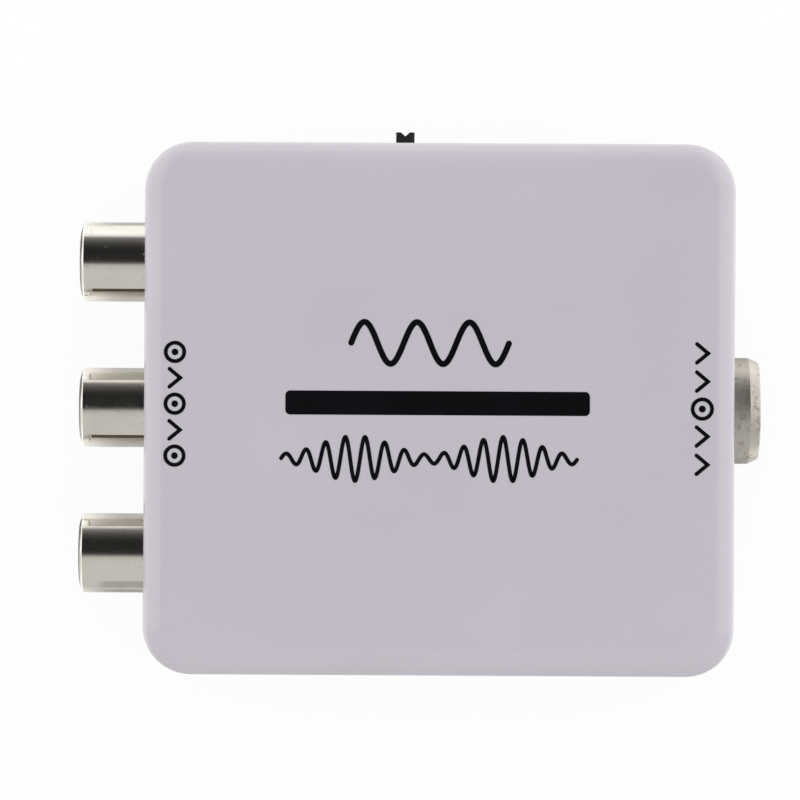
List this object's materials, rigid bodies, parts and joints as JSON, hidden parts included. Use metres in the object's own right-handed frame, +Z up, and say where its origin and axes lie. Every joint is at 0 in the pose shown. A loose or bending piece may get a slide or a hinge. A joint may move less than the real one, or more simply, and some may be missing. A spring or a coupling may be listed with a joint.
{
  "type": "rf modulator",
  "caption": "Small glossy desktop box that turns phono picture and sound inputs into an aerial signal, with a power socket and a channel switch on its back.",
  "frame": {"origin": "centre of the underside of the case, on the surface that the box stands on", "axes": "+Z up through the printed top, +X towards the aerial socket, +Y towards the wall with the power socket and the channel switch"},
  "size_m": [0.0709, 0.0566, 0.02],
  "materials": {
    "case_plastic": "glossy moulded lilac-white plastic",
    "black_plastic": "matt black moulding",
    "lever_plastic": "satin black moulding",
    "yellow_plastic": "glossy yellow moulding",
    "white_plastic": "glossy white moulding",
    "red_plastic": "glossy red moulding",
    "nickel_plate": "bright nickel plate with a faint drawn grain",
    "cast_nickel": "nickel plate over a rough casting",
    "tin_plate": "dull tin plate",
    "screw_steel": "zinc-plated steel",
    "contact_gold": "gold flash on bronze",
    "board_laminate": "green solder mask",
    "brown_laminate": "brown phenolic laminate",
    "ferrite": "dark ferrite",
    "capacitor_sleeve": "dark blue sleeve",
    "tan_ceramic": "tan ceramic"
  },
  "bodies": {
    "case": {"bottom_shell": "case_plastic", "top_shell": "case_plastic", "board_screws": "screw_steel", "circuit_board": "board_laminate", "rca_block": "black_plastic", "rca_barrel_yellow": "nickel_plate", "rca_barrel_white": "nickel_plate", "rca_barrel_red": "nickel_plate", "rca_insert_yellow": "yellow_plastic", "rca_insert_white": "white_plastic", "rca_insert_red": "red_plastic", "rca_contact_yellow": "tin_plate", "rca_contact_white": "tin_plate", "rca_contact_red": "tin_plate", "rf_body": "cast_nickel", "rf_insulator": "white_plastic", "rf_contact": "tin_plate", "usb_shell": "tin_plate", "usb_insulator": "black_plastic", "usb_contacts": "contact_gold", "switch_frame": "tin_plate", "switch_base": "brown_laminate", "switch_terminals": "tin_plate", "shield_fence": "tin_plate", "shield_lid": "tin_plate", "modulator_chip": "black_plastic", "modulator_leads": "tin_plate", "coil_can": "tin_plate", "coil_former": "brown_laminate", "coil_core": "ferrite", "crystal": "tin_plate", "capacitors": "capacitor_sleeve", "capacitor_leads": "tin_plate", "regulator": "black_plastic", "regulator_leads": "tin_plate", "chip_resistors": "black_plastic", "chip_capacitors": "tan_ceramic"},
    "slider": {"switch_slider": "lever_plastic", "switch_wiper": "contact_gold"}
  },
  "joints": [
    {"name": "switch_slide", "type": "slide", "parent": "case", "child": "slider", "axis": [1, 0, 0], "range_m": [0, 0.002]}
  ]
}
